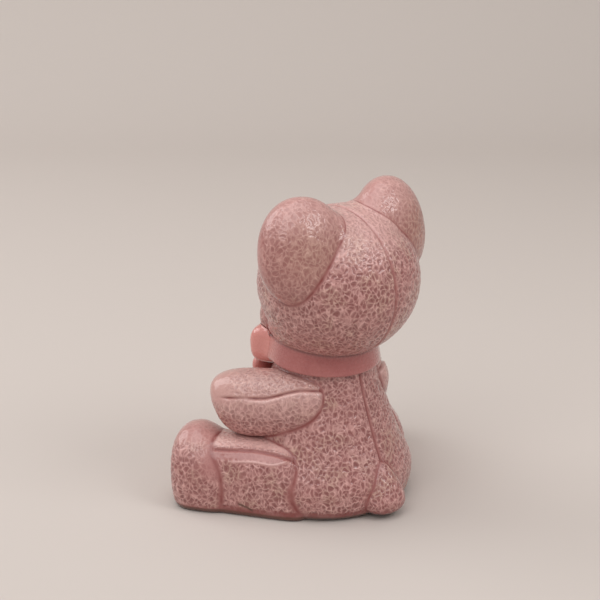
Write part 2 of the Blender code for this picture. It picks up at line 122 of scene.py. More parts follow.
Z_AXIS = np.array((0.0, 0.0, 1.0))
FORWARD = np.array((0.0, -1.0, 0.0))
FLIP = np.array((-1.0, 1.0, 1.0))


def unit(vector):
    vector = np.asarray(vector, float)
    return vector / np.linalg.norm(vector)


def smoothstep(low, high, value):
    share = np.clip((value - low) / (high - low), 0, 1)
    return share * share * (3 - 2 * share)


def softplus(value):
    return np.logaddexp(0, value)


def bell(value, width):
    return np.exp(-((value / width) ** 2))


class Form:
    """A solid as a level set: value() is below zero inside, and about a distance near the surface."""

    crease = CREASE
    trim = False

    def measure(self, points):
        """The distance to the surface, and the way out of it."""
        step = 0.02 * MM
        slope = np.empty_like(points)
        for axis in range(3):
            ahead = points.copy()
            ahead[:, axis] += step
            back = points.copy()
            back[:, axis] -= step
            slope[:, axis] = (self.value(ahead) - self.value(back)) / (2 * step)
        steepness = np.maximum(np.linalg.norm(slope, axis=1), 1e-6)
        return self.value(points) / steepness, slope / steepness[:, None]

    def softness(self, points):
        return np.full(len(points), self.crease)


def torso_radii(height):
    """Half-width and half-depth of the torso at each height."""
    height = np.asarray(height, float)
    low = np.clip(height / BELLY_HEIGHT, 0, 1)
    swell = np.sqrt(1 - (1 - low) ** 2)
    rise = np.clip((height - BELLY_HEIGHT) / (NECK_HEIGHT - BELLY_HEIGHT), 0, 1)
    full_rise = np.hypot(1, BELLY_ROUNDING) - BELLY_ROUNDING
    eased = (np.hypot(rise, BELLY_ROUNDING) - BELLY_ROUNDING) / full_rise
    share = np.clip(1 - eased, 0, 1) ** SHOULDER_POWER
    narrowed = NECK_NARROWING * np.clip((height - NECK_HEIGHT) / NECK_COLUMN, 0, 1)
    radii = []
    for belly in (BELLY_HALF_WIDTH, BELLY_HALF_DEPTH):
        under = BASE_RADIUS + (belly - BASE_RADIUS) * swell
        over = NECK_RADIUS + (belly - NECK_RADIUS) * share - narrowed
        radii.append(np.where(height < BELLY_HEIGHT, under, over))
    return radii


def on_torso(height, azimuth, lift=0.0):
    """Places on the outside of the torso, or a lift off it."""
    half_width, half_depth = torso_radii(height)
    x = (half_width + lift) * np.cos(azimuth)
    y = (half_depth + lift) * np.sin(azimuth)
    return AXIS + np.stack(np.broadcast_arrays(x, y, height), axis=-1)


def waist(points):
    """How far the torso draws in over the top of each leg."""
    _, y, z = (points - AXIS).T
    return WAIST_DEPTH * bell(z - WAIST_HEIGHT, WAIST_SPREAD) * bell(y - WAIST_SET_BACK, WAIST_LENGTH)


class Torso(Form):
    def value(self, points):
        x, y, z = (points - AXIS).T
        half_width, half_depth = torso_radii(z)
        side = (np.hypot(x / half_width, y / half_depth) - 1) * half_width + waist(points)
        return np.maximum(side, z - NECK_HEIGHT - NECK_COLUMN)


THROAT_CENTRE = AXIS + np.array((0.0, 0.0, 66.2)) * MM
THROAT_HALF = np.array((20.7, 20.7, 9.5)) * MM
THROAT_FILLET = 1.2 * MM
HEAD_CENTRE = AXIS + np.array((0.0, HEAD_SET_BACK, NECK_HEIGHT + HEAD_HALF[2] + HEAD_RISE))


def on_head(elevation, azimuth, lift=0.0):
    """A place on the head's ellipsoid, or a lift off it."""
    level = math.cos(elevation)
    way = (level * math.cos(azimuth), level * math.sin(azimuth), math.sin(elevation))
    return HEAD_CENTRE + (HEAD_HALF + lift) * way


class Head(Form):
    """The head, with the round of the throat that rests in the ribbon."""

    def value(self, points):
        skull = (np.linalg.norm((points - HEAD_CENTRE) / HEAD_HALF, axis=1) - 1) * HEAD_HALF[2]
        throat = (np.linalg.norm((points - THROAT_CENTRE) / THROAT_HALF, axis=1) - 1) * THROAT_HALF[2]
        return skull - THROAT_FILLET * softplus((skull - throat) / THROAT_FILLET)


class Pebble(Form):
    """A rounded casting: an ellipsoid, blunted towards a box, tapered along its pole, dished at one end.

    half is in millimetres, across, up and along the pole. dish is a depth and the share of the end that it
    takes. lean is how far the casting slants along its pole for each metre up, and by which shares its front
    and its back are longer at the top than in the middle."""

    # The least share of its width that a taper leaves, and where along the pole the dish starts to count.
    least_width = 0.15
    dish_start = -0.3

    def __init__(
        self,
        half,
        centre,
        pole,
        up=Z_AXIS,
        blunt=(2.0, 2.0),
        taper=0.0,
        dish=(0.0, 1.0),
        lean=(0.0, 0.0, 0.0),
        crease=CREASE,
    ):
        self.half = np.asarray(half, float) * MM
        self.centre = np.asarray(centre, float)
        pole = unit(pole)
        up = unit(up - np.dot(up, pole) * pole)
        self.axes = np.array((np.cross(up, pole), up, pole))
        self.blunt = blunt
        self.taper = taper
        self.dish = dish
        self.lean = lean
        self.crease = crease

    def local(self, points):
        along = (points - self.centre) @ self.axes.T
        slant, keel, stern = self.lean
        rise = np.clip(along[:, 1] / self.half[1], -1, 1)
        along[:, 2] -= slant * along[:, 1]
        along[:, 2] /= 1 + np.where(along[:, 2] > 0, keel, stern) * rise
        return along

    def value(self, points):
        n, m = self.blunt
        along = self.local(points) / self.half
        narrow = np.maximum(1 + self.taper * along[:, 2], self.least_width)
        sides = np.abs(along[:, :2]) / narrow[:, None]
        across = np.sum(sides**n, axis=1) ** (1 / n)
        depth, share = self.dish
        radius = np.hypot(*sides.T) / share
        sunk = depth / self.half[2] * np.clip(1 - radius**2, 0, 1) ** 2
        height = np.abs(along[:, 2] + np.where(along[:, 2] > self.dish_start, sunk, 0))
        return ((across**m + height**m) ** (1 / m) - 1) * self.half.min()

    def place(self, ways):
        """Points on the surface from unit directions in the casting's own frame."""
        n, m = self.blunt
        across = np.sum(np.abs(ways[:, :2]) ** n, axis=1) ** (1 / n)
        on = ways / ((across**m + np.abs(ways[:, 2]) ** m) ** (1 / m))[:, None]
        points = on * self.half
        points[:, :2] *= (1 + self.taper * on[:, 2])[:, None]
        depth, share = self.dish
        radius = np.hypot(on[:, 0], on[:, 1]) / share
        points[:, 2] -= np.where(on[:, 2] > 0, depth * np.clip(1 - radius**2, 0, 1) ** 2, 0)
        slant, keel, stern = self.lean
        points[:, 2] *= 1 + np.where(on[:, 2] > 0, keel, stern) * on[:, 1]
        points[:, 2] += slant * points[:, 1]
        return self.centre + points @ self.axes


class Mirrored(Form):
    """The same casting for the right side of the bear."""

    def __init__(self, left):
        self.left = left
        self.crease = left.crease
        self.trim = left.trim

    def value(self, points):
        return self.left.value(points * FLIP)

    def local(self, points):
        return self.left.local(points * FLIP)

    def place(self, ways):
        return self.left.place(ways) * FLIP

    def softness(self, points):
        return self.left.softness(points * FLIP)


class Foot(Pebble):
    """A foot whose instep slopes down to the top of its leg."""

    def slope(self, points):
        """How far the instep is below the round of the foot."""
        _, up, along = ((points - self.centre) @ self.axes.T).T
        return INSTEP_DROP * smoothstep(4 * MM, -11 * MM, along) * smoothstep(0, 15 * MM, up)

    def value(self, points):
        lifted = points.copy()
        lifted[:, 2] += self.slope(points)
        return super().value(lifted)

    def place(self, ways):
        points = super().place(ways)
        height = points[:, 2].copy()
        # The drop depends on the height that is looked for, so it is found in rounds.
        for _ in range(8):
            points[:, 2] = height - self.slope(points)
        return points

    def softness(self, points):
        rise = smoothstep(15 * MM, 23 * MM, points[:, 2])
        return self.crease + (INSTEP_FILLET - self.crease) * rise


class Ear(Pebble):
    """An ear runs smoothly into the crown, and meets the side of the head in a crease."""

    def softness(self, points):
        rise = points[:, 2] - HEAD_CENTRE[2]
        inner = 1 - smoothstep(10 * MM, 17 * MM, np.abs(points[:, 0]))
        crown = inner * smoothstep(14 * MM, 21 * MM, rise)
        return self.crease + (EAR_FILLET - self.crease) * crown


RIBBON_THICKNESS = 2.2 * MM
RIBBON_BOTTOM = NECK_HEIGHT - 0.6 * MM
RIBBON_TILT = 0.06
RIBBON_WIDTH = 9.8 * MM
RIBBON_EDGE = 0.8 * MM
RIBBON_MIDDLE = RIBBON_BOTTOM + RIBBON_WIDTH / 2
BOW_HEIGHT = RIBBON_MIDDLE - 0.8 * MM
RIBBON_FRONT = NECK_RADIUS + JOINT_GAP + RIBBON_THICKNESS


class Band(Form):
    """The ribbon round the neck, which rises forwards."""

    crease = 0.20 * MM
    trim = True

    def value(self, points):
        x, y, z = (points - AXIS).T
        z = z + RIBBON_TILT * np.clip(y, -NECK_RADIUS, NECK_RADIUS)
        half_width, half_depth = torso_radii(z)
        out = (np.hypot(x / half_width, y / half_depth) - 1) * half_width
        u = np.abs(out - JOINT_GAP - RIBBON_THICKNESS / 2) - RIBBON_THICKNESS / 2 + RIBBON_EDGE
        v = np.abs(z - RIBBON_MIDDLE) - RIBBON_WIDTH / 2 + RIBBON_EDGE
        outside = np.hypot(np.maximum(u, 0), np.maximum(v, 0))
        return outside + np.minimum(np.maximum(u, v), 0) - RIBBON_EDGE


def outward(splay):
    """The level direction that a left limb points in, turned out from straight ahead."""
    splay = math.radians(splay)
    return np.array((math.sin(splay), -math.cos(splay), 0.0))


def ear_form():
    elevation, azimuth, cup, lean = (math.radians(angle) for angle in (38.5, 10, 18, 11))
    front = (-math.sin(cup) * math.cos(lean), -math.cos(cup) * math.cos(lean), -math.sin(lean))
    seat = on_head(elevation, azimuth, -1.6 * MM)
    turn = math.radians(7)
    up = np.array((-math.sin(turn), 0.0, math.cos(turn)))
    return Ear((15.7, 19.1, 11.5), seat, front, up, blunt=(2.15, 2.1), dish=(5.0 * MM, 0.74))


def muzzle_form():
    seat = on_head(math.radians(-39), -math.pi / 2, -0.5 * MM)
    return Pebble((16.4, 11.5, 10.0), seat, FORWARD, blunt=(2.1, 2.1), crease=0.5 * MM)


def nose_form(muzzle):
    tilt = math.radians(38)
    pole = np.array((0.0, -math.cos(tilt), math.sin(tilt)))
    seat = muzzle.centre + pole * (0.0, muzzle.half[2], muzzle.half[1])
    return Pebble((4.2, 3.0, 2.6), seat, pole, blunt=(2.1, 2.1), crease=0.15 * MM)


def eye_form():
    seat = on_head(math.radians(6), math.radians(24) - math.pi / 2)
    pole = (seat - HEAD_CENTRE) / HEAD_HALF**2
    return Pebble((2.7, 2.7, 1.7), seat, pole, crease=0.15 * MM)


# Splays, dips and seams in degrees.
ARM_SPLAY, ARM_DIP, ARM_SEAM = 31, 5, 22
LEG_SPLAY, LEG_SEAM = 31, 60
ARM_REACH, LEG_REACH = 1.2 * MM, 1.5 * MM
# Heights in millimetres, and the share of them at which a leg and a foot are widest.
LEG_HEIGHT, LEG_WIDEST = 26.4, 0.32
FOOT_HEIGHT, FOOT_WIDEST = 29.9, 0.35


def arm_form():
    dip = math.radians(ARM_DIP)
    pole = outward(ARM_SPLAY) * math.cos(dip) - Z_AXIS * math.sin(dip)
    seat = on_torso(38.8 * MM, math.radians(-13), -1.4 * MM) + pole * ARM_REACH
    return Pebble((11.0, 12.4, 21.2), seat, pole, blunt=(2.3, 3.4), taper=0.04, lean=(-0.03, 0.20, 0.08))


def leg_form():
    seat = on_torso(LEG_HEIGHT * LEG_WIDEST * MM, math.radians(-12), -4.5 * MM)
    seat += outward(LEG_SPLAY) * LEG_REACH
    half = (12.8, LEG_HEIGHT * (1 - LEG_WIDEST), 21.8)
    return Pebble(half, seat, outward(LEG_SPLAY), blunt=(2.8, 6.0), lean=(0.15, 0.0, 0.0))


def foot_form(leg):
    seat = leg.centre + outward(LEG_SPLAY) * 17.8 * MM
    seat[2] = FOOT_HEIGHT * FOOT_WIDEST * MM
    half = (15.0, FOOT_HEIGHT * (1 - FOOT_WIDEST), 12.4)
    sole = (0.6 * MM, 0.72)
    return Foot(half, seat, outward(LEG_SPLAY), blunt=(2.3, 3.2), dish=sole, lean=(0.05, 0.0, 0.0))


def tail_form():
    seat = on_torso(10.4 * MM, math.pi / 2, -2.7 * MM)
    return Pebble((7.4, 7.4, 9.8), seat, Z_AXIS, FORWARD, blunt=(2.2, 2.2), taper=-0.60)


def bow_place(out, stand, drop=0.0):
    """A place on the bow: out to the left, in front of the ribbon and below its middle, in millimetres."""
    return AXIS + np.array((out * MM, -RIBBON_FRONT - stand * MM, BOW_HEIGHT - drop * MM))


BOW_BLUNT = (2.4, 2.4)


class Bow(Pebble):
    """A part of the bow runs smoothly into the ribbon."""

    trim = True


def knot_form():
    return Bow((3.4, 4.4, 3.2), bow_place(0, 1.4), FORWARD, blunt=BOW_BLUNT, crease=0.35 * MM)


def loop_form():
    sweep = math.radians(24)
    pole = (math.cos(sweep), math.sin(sweep), 0)
    return Bow((6.0, 6.8, 10.0), bow_place(9.3, -3.0), pole, blunt=(3.0, 4.0), taper=0.1, crease=1.2 * MM)


def bow_tail_form():
    droop = math.radians(22)
    pole = (math.cos(droop), 0, -math.sin(droop))
    return Bow((2.4, 4.0, 7.8), bow_place(8.3, 0.7, 9.2), pole, blunt=BOW_BLUNT, taper=0.3, crease=0.4 * MM)


# Meshes.


def cube_sphere(rows):
    """Unit directions on an even grid that wraps a sphere, with its quads."""
    corner = np.arange(rows + 1)
    a, b = (grid.ravel() for grid in np.meshgrid(corner, corner, indexing="ij"))
    lattice = []
    for axis in range(3):
        for end in (0, rows):
            cell = np.empty((len(a), 3), int)
            cell[:, axis] = end
            cell[:, (axis + 1) % 3] = a if end else b
            cell[:, (axis + 2) % 3] = b if end else a
            lattice.append(cell)
    lattice = np.concatenate(lattice)
    unique, index = np.unique(lattice, axis=0, return_inverse=True)
    index = index.reshape(6, rows + 1, rows + 1)
    corners = (index[:, :-1, :-1], index[:, 1:, :-1], index[:, 1:, 1:], index[:, :-1, 1:])
    quads = np.stack(corners, axis=-1)
    ways = np.tan((unique / rows * 2 - 1) * math.pi / 4)
    ways /= np.linalg.norm(ways, axis=1)[:, None]
    return ways, quads.reshape(-1, 4)


def rings_to_quads(rings, columns):
    """Quads of a sleeve of rings, each with the same number of columns."""
    row = np.arange(rings - 1)[:, None] * columns
    here = np.arange(columns)[None]
    ahead = (here + 1) % columns
    corners = (row + here, row + ahead, row + columns + ahead, row + columns + here)
    return np.stack(corners, axis=-1).reshape(-1, 4)


def closed_rings(rings, columns):
    """Quads of a torus of rings: the last ring joins the first."""
    quads = rings_to_quads(rings + 1, columns)
    return quads % (rings * columns)


def even_steps(curve, spacing):
    """Points at even steps along a polyline."""
    steps = np.linalg.norm(np.diff(curve, axis=0), axis=1)
    run = np.concatenate(([0], np.cumsum(steps)))
    at = np.linspace(0, run[-1], max(int(run[-1] / spacing), 2) + 1)
    return np.stack([np.interp(at, run, column) for column in curve.T], axis=1)


def torso_skin():
    """The torso's wall: up the outside, in at the neck, down the hollow, and out through the vent."""
    columns = 592
    lip_rises = (1.5, 3.0, 4.5, 6.0)
    hollow_heights = (50, 42, 34, 26, 18, 11.5, 8, 5.4, 4.2)
    seat_radii = (9, 14, 19, 24, 27)
    azimuth = math.tau * np.arange(columns) / columns
    heights = NECK_HEIGHT * (1 - np.cos(np.linspace(0, math.pi / 2, 2000)))
    width = torso_radii(heights)[0]
    outside = even_steps(np.stack((width, heights), axis=1), 0.36 * MM)
    # A row is a ring's height, how far it stands off the outside, and the share of its radius that it keeps.
    rows = [(height, 0.0, 1.0) for height in outside[:, 1]]
    rows += [(NECK_HEIGHT + rise * MM, 0.0, 1.0) for rise in lip_rises]
    rows += [(NECK_HEIGHT + lip_rises[-1] * MM, -WALL, 1.0)]
    rows += [(height * MM, -WALL, 1.0) for height in hollow_heights]
    rows += [(WALL, -WALL, share) for share in (0.8, 0.5)]
    points = [on_torso(height, azimuth, lift) for height, lift, _ in rows]
    for ring, (_, lift, share) in zip(points, rows):
        ring[:, :2] = AXIS[:2] + (ring[:, :2] - AXIS[:2]) * share
        if lift == 0.0:
            spread = np.linalg.norm(ring[:, :2] - AXIS[:2], axis=1)
            ring[:, :2] -= (ring[:, :2] - AXIS[:2]) * (waist(ring) / spread)[:, None]
    turn = np.stack((np.cos(azimuth), np.sin(azimuth), np.zeros(columns)), axis=1)
    for height in (WALL, WALL / 2, 0.0):
        points.append(AXIS + VENT_RADIUS * turn + np.array((0, 0, height)))
    for radius in seat_radii:
        points.append(AXIS + radius * MM * turn)
    return np.concatenate(points), closed_rings(len(points), columns)


def head_skin():
    """The skull's points, moved along their rays onto the head with its throat."""
    rounds, pace = 40, 0.7
    ways, quads = cube_sphere(126)
    form = Head()
    points = HEAD_CENTRE + ways * HEAD_HALF
    out = (points - HEAD_CENTRE) / np.linalg.norm(points - HEAD_CENTRE, axis=1)[:, None]
    for _ in range(rounds):
        points -= pace * form.value(points)[:, None] * out
    return points, quads


def band_skin():
    """The ribbon as a sleeve whose section is a rectangle with rounded corners."""
    columns = 420
    azimuth = math.tau * np.arange(columns) / columns
    profile = []
    for quarter, (side, end) in enumerate(((1, 1), (-1, 1), (-1, -1), (1, -1))):
        for turn in np.linspace(0, math.pi / 2, 5):
            angle = turn + quarter * math.pi / 2
            out = JOINT_GAP + RIBBON_THICKNESS / 2 + side * (RIBBON_THICKNESS / 2 - RIBBON_EDGE)
            up = RIBBON_MIDDLE + end * (RIBBON_WIDTH / 2 - RIBBON_EDGE)
            profile.append((out + RIBBON_EDGE * math.cos(angle), up + RIBBON_EDGE * math.sin(angle)))
    profile = np.array(profile + profile[:1])
    profile = even_steps(profile, 0.4 * MM)[:-1]
    rise = -RIBBON_TILT * NECK_RADIUS * np.sin(azimuth)
    rings = [on_torso(height + rise, azimuth, lift) for lift, height in profile]
    return np.concatenate(rings), closed_rings(len(rings), columns)[:, ::-1]


def pebble_skin(form, rows):
    """A casting's skin. A mirrored one has its quads turned round, so that they still face outwards."""
    ways, quads = cube_sphere(rows)
    if isinstance(form, Mirrored):
        quads = quads[:, ::-1]
    return form.place(ways), quads


# Soft joints.


def near(box, points, margin):
    """Which points are in a box grown by a margin."""
    low, high = box
    return np.all((points > low - margin) & (points < high + margin), axis=1)


class Piece:
    """A casting with its skin, its glaze, and at each point how plain and washed it is, how much painted
    light it takes (on the bow and ribbon, a paler tint instead), and how much unglazed clay and painted
    contact shadow it shows.
    """

    def __init__(self, name, form, skin, slot, plush):
        self.name = name
        self.form = form
        self.points, self.quads = skin
        self.slot = slot
        self.plush = plush
        self.box = self.points.min(axis=0), self.points.max(axis=0)
        self.grooves = []
        self.plain, self.sheen, self.bare, self.wash = np.zeros((4, len(self.points)))


def joint_softness(one, other, points):
    """The softer of two forms wins, but what meets a ribbon or a bow keeps a tight joint."""
    if one.trim != other.trim:
        return np.full(len(points), min(one.crease, other.crease))
    return np.maximum(one.softness(points), other.softness(points))


def soften(piece, others):
    """Moves the skin onto the surface that blends the piece with its neighbours.

    What lies inside a neighbour stays inside it. Returns how far each point is from the nearest neighbour,
    and from the nearest that it has a visible joint with. The bow runs into the ribbon without one."""
    margin, reach, depth = 12 * MM, 20 * MM, 3 * MM
    rounds, longest_step, least_steepness, most_lead = 4, 1.5 * MM, 0.3, 40
    strip, fade = 0.35 * MM, 0.8 * MM
    start = piece.points
    nearest = np.full(len(start), FAR)
    apart = nearest.copy()
    active = []
    for other in others:
        meets = np.flatnonzero(near(other.box, start, margin))
        if len(meets):
            distance, _ = other.form.measure(start[meets])
            nearest[meets] = np.minimum(nearest[meets], distance)
            if not (piece.form.trim and other.form.trim):
                apart[meets] = np.minimum(apart[meets], distance)
            active.append(other)
    moving = np.flatnonzero((nearest < reach) & (nearest > -depth))
    points = start[moving].copy()
    own_start, _ = piece.form.measure(points)
    for _ in range(rounds):
        own, own_way = piece.form.measure(points)
        own -= own_start
        level = own.copy()
        way = own_way.copy()
        for other in active:
            distance, other_way = other.form.measure(points)
            soft = joint_softness(piece.form, other.form, points)
            lead = np.clip((own - distance) / soft, -most_lead, most_lead)
            level -= soft * softplus(lead)
            share = 1 / (1 + np.exp(-lead))
            way -= share[:, None] * (own_way - other_way)
        steepness = np.maximum(np.sum(way**2, axis=1), least_steepness)
        step = np.clip(level / steepness, -longest_step, longest_step)
        points -= step[:, None] * way
    keep = smoothstep(-strip - fade, -strip, nearest[moving])
    piece.points = start.copy()
    piece.points[moving] += keep[:, None] * (points - start[moving])
    return nearest, apart


def normals(points, quads):
    """Outward unit normals of a closed skin, averaged at each point."""
    a, b, c, d = (points[quads[:, i]] for i in range(4))
    face = np.cross(c - a, d - b)
    total = np.zeros_like(points)
    for i in range(4):
        for axis in range(3):
            total[:, axis] += np.bincount(quads[:, i], face[:, axis], len(points))
    return total / np.maximum(np.linalg.norm(total, axis=1), 1e-30)[:, None]


# Relief and glaze.

RELIEF_DEPTH = 0.16 * MM
BUMP_DEPTH = 0.10 * MM
RIDGE_POWER = 1.6
PIT_SPACING = 1.65 * MM
FOLD_LENGTH = 2.8 * MM
# The relief is drawn out upwards a little, and bent by two noises: their scale, reach and shift.
UPRIGHT_SQUEEZE = 0.84
BENDS = ((320, 1.9 * MM, 0.21), (900, 0.8 * MM, 0.67))
# Its height is a ground, blotches of noise, and what three parts add: from where to where that fades, in
# cell widths or wave heights, and how much it is at the start.
RELIEF_GROUND, BLOTCH_SHARE, RELIEF_MIDDLE = 0.11, 0.40, 0.5
WALL_LIFT = (0.0, 0.22, 0.38)
MIDDLE_LIFT = (0.15, 0.55, -0.26)
FOLD_LIFT = (0.0, 0.6, 0.24)
# The noises of the relief and the glazes, in cells to the metre.
BLOTCHES, PATCHES, OLIVE_PATCHES, CREASE_PATCHES, GRAIN = 500, 95, 120, 210, 2600
RIBBON_POOLS, RIBBON_RIPPLE, RIBBON_GRAIN = 110, 260, 900
FACE_POOLS, FACE_GRAIN = 320, 1500


def add_node(tree, kind, **values):
    node = tree.nodes.new(kind)
    for name, value in values.items():
        setattr(node, name, value)
    return node


def wire(tree, source, target):
    tree.links.new(source, target)


def feed(tree, socket, value):
    if isinstance(value, bpy.types.NodeSocket):
        wire(tree, value, socket)
    else:
        socket.default_value = value


def maths(tree, operation, *values):
    node = add_node(tree, "ShaderNodeMath", operation=operation)
    for socket, value in zip(node.inputs, values):
        feed(tree, socket, value)
    return node.outputs[0]


def smooth_range(tree, value, low, high, to_low=0.0, to_high=1.0):
    node = add_node(tree, "ShaderNodeMapRange", interpolation_type="SMOOTHSTEP")
    for name, given in (
        ("Value", value),
        ("From Min", low),
        ("From Max", high),
        ("To Min", to_low),
        ("To Max", to_high),
    ):
        feed(tree, node.inputs[name], given)
    return node.outputs["Result"]


def vector_maths(tree, operation, first, second):
    """A sum, product or difference of two vectors, or with SCALE a vector times a number."""
    node = add_node(tree, "ShaderNodeVectorMath", operation=operation)
    feed(tree, node.inputs[0], first)
    feed(tree, node.inputs["Scale" if operation == "SCALE" else 1], second)
    return node.outputs["Value" if operation == "DOT_PRODUCT" else "Vector"]


def attribute(tree, name, output="Fac"):
    """What the skin holds at each point under a name."""
    return add_node(tree, "ShaderNodeAttribute", attribute_name=name).outputs[output]


def noise_node(tree, place, scale, detail, shift):
    node = add_node(tree, "ShaderNodeTexNoise")
    wire(tree, vector_maths(tree, "ADD", place, shift), node.inputs["Vector"])
    node.inputs["Scale"].default_value = scale
    node.inputs["Detail"].default_value = detail
    return node


def noise(tree, place, scale, detail=0.0, roughness=0.5, shift=0.0):
    """A noise whose cells are 1 / scale metres wide. The shift keeps it apart from the others."""
    node = noise_node(tree, place, scale, detail, (shift, shift * 0.7, shift * 1.3))
    node.inputs["Roughness"].default_value = roughness
    return node.outputs["Fac"]


def warped(tree, place, scale, reach, shift):
    """A place moved about by a noise, up to the reach each way."""
    wander = noise_node(tree, place, scale, 0.0, (shift, -shift, 2 * shift))
    centred = vector_maths(tree, "SUBTRACT", wander.outputs["Color"], (0.5, 0.5, 0.5))
    return vector_maths(tree, "ADD", place, vector_maths(tree, "SCALE", centred, reach))


def cell_distance(tree, place, width, feature):
    """How far a place is from the middle, or from the wall, of its cell in a foam, in cell widths."""
    node = add_node(tree, "ShaderNodeTexVoronoi", feature=feature)
    wire(tree, place, node.inputs["Vector"])
    node.inputs["Scale"].default_value = 1 / width
    return node.outputs["Distance"]


def crossed_waves(tree, place, length):
    """A sum of even waves that run every way, which makes a maze of one width. Its spread is 1."""
    count = 12
    shortest, spread = 0.88, 0.24
    pitch_turn, phase_turn = 0.6180, 0.7549
    total = 0.0
    for i in range(count):
        rise = (i + 0.5) / count
        turn = i * math.pi * (3 - math.sqrt(5))
        flat = math.sqrt(1 - rise * rise)
        way = np.array((flat * math.cos(turn), flat * math.sin(turn), rise))
        pitch = math.tau / length * (shortest + spread * (i * pitch_turn % 1))
        along = vector_maths(tree, "DOT_PRODUCT", place, way * pitch)
        phased = maths(tree, "ADD", along, math.tau * (i * phase_turn % 1))
        total = maths(tree, "ADD", maths(tree, "SINE", phased), total)
    return maths(tree, "MULTIPLY", total, math.sqrt(2 / count))


def relief_height(tree, place):
    """The plush relief: about 0 in its pits, and about 1 on the thin crooked ridges between them."""
    bent = vector_maths(tree, "MULTIPLY", place, (1.0, 1.0, UPRIGHT_SQUEEZE))
    for bend in BENDS:
        bent = warped(tree, bent, *bend)
    height = maths(tree, "MULTIPLY", noise(tree, bent, BLOTCHES, shift=0.33), BLOTCH_SHARE)
    height = maths(tree, "ADD", height, RELIEF_GROUND)
    wall = cell_distance(tree, bent, PIT_SPACING, "DISTANCE_TO_EDGE")
    middle = cell_distance(tree, bent, PIT_SPACING, "F1")
    fold = maths(tree, "ABSOLUTE", crossed_waves(tree, bent, FOLD_LENGTH))
    for distance, (low, high, lift) in ((wall, WALL_LIFT), (middle, MIDDLE_LIFT), (fold, FOLD_LIFT)):
        height = maths(tree, "ADD", smooth_range(tree, distance, low, high, lift, 0.0), height)
    return height


def relief_modifier():
    """Geometry nodes that push a skin out, or in where the relief is below its middle."""
    tree = bpy.data.node_groups.new("plush_relief", "GeometryNodeTree")
    tree.interface.new_socket("Geometry", in_out="INPUT", socket_type="NodeSocketGeometry")
    tree.interface.new_socket("Geometry", in_out="OUTPUT", socket_type="NodeSocketGeometry")
    source = add_node(tree, "NodeGroupInput")
    target = add_node(tree, "NodeGroupOutput")
    place = add_node(tree, "GeometryNodeInputNamedAttribute", data_type="FLOAT_VECTOR")
    place.inputs["Name"].default_value = "place"
    plush = add_node(tree, "GeometryNodeInputNamedAttribute", data_type="FLOAT")
    plush.inputs["Name"].default_value = "plush"
    height = relief_height(tree, place.outputs["Attribute"])
    height = maths(tree, "SUBTRACT", height, RELIEF_MIDDLE)
    height = maths(tree, "MULTIPLY", height, plush.outputs["Attribute"])
    height = maths(tree, "MULTIPLY", height, 2 * RELIEF_DEPTH)
    normal = add_node(tree, "GeometryNodeInputNormal")
    push = vector_maths(tree, "SCALE", normal.outputs[0], height)
    move = add_node(tree, "GeometryNodeSetPosition")
    wire(tree, source.outputs[0], move.inputs["Geometry"])
    wire(tree, push, move.inputs["Offset"])
    wire(tree, move.outputs[0], target.inputs[0])
    return tree


def linear(red, green, blue):
    """A colour given as 0 to 255 on a screen, in the linear light that shaders use."""

    def one(level):
        level /= 255
        return level / 12.92 if level <= 0.04045 else ((level + 0.055) / 1.055) ** 2.4

    return (one(red), one(green), one(blue), 1.0)


# Colours, in pairs where a surface wanders between two.
PIT_ROSES = linear(129, 68, 65), linear(137, 75, 72)
RIDGE_ROSES = linear(227, 176, 170), linear(217, 164, 158)
SMOOTH_ROSES = linear(180, 120, 115), linear(168, 107, 103)
OLIVE_RIDGE, OLIVE_WASH = linear(206, 176, 152), linear(178, 136, 118)
# The crease rose is glaze pooled in joints and seams, with painted shade.
# The pale rose is painted light.
GRAIN_ROSE, PAINTED_LIGHT_ROSE, POOLED_AND_SHADED_ROSE = linear(208, 166, 160), linear(232, 190, 184), linear(134, 64, 61)
# Dark unglazed clay, on the mould flake and at the very bottom, where it also stands for painted contact
# shadow.
CLAY_AND_CONTACT_SHADOW = linear(92, 56, 42)
RIBBON_ROSES = linear(168, 91, 89), linear(178, 103, 100)
# The ribbon's crease colour is pooled glaze with painted shade.
BOW_ROSE, RIBBON_POOLED_AND_SHADED = linear(214, 138, 130), linear(112, 48, 46)
FACE_BROWNS = linear(34, 20, 20), linear(58, 34, 33)
PAPER = linear(204, 195, 189)


def mix_colours(tree, share, first, second):
    # A mix node has sockets for each kind of value: its colours are inputs 6 and 7, and output 2.
    node = add_node(tree, "ShaderNodeMix", data_type="RGBA")
    feed(tree, node.inputs["Factor"], share)
    feed(tree, node.inputs[6], first)
    feed(tree, node.inputs[7], second)
    return node.outputs[2]


def new_material(name):
    material = bpy.data.materials.new(name)
    material.use_nodes = True
    return material, material.node_tree, material.node_tree.nodes["Principled BSDF"]


def new_glaze(name, coat_roughness):
    """A material under a clear coat."""
    material, tree, shader = new_material(name)
    shader.inputs["Coat Weight"].default_value = 1.0
    shader.inputs["Coat Roughness"].default_value = coat_roughness
    shader.inputs["Coat IOR"].default_value = 1.5
    return material, tree, shader


def bump_glaze(tree, shader, height, strength):
    """Bumps a glaze and its coat by a height."""
    bump = add_node(tree, "ShaderNodeBump")
    bump.inputs["Distance"].default_value = BUMP_DEPTH
    bump.inputs["Strength"].default_value = strength
    wire(tree, height, bump.inputs["Height"])
    wire(tree, bump.outputs["Normal"], shader.inputs["Normal"])
    wire(tree, bump.outputs["Normal"], shader.inputs["Coat Normal"])


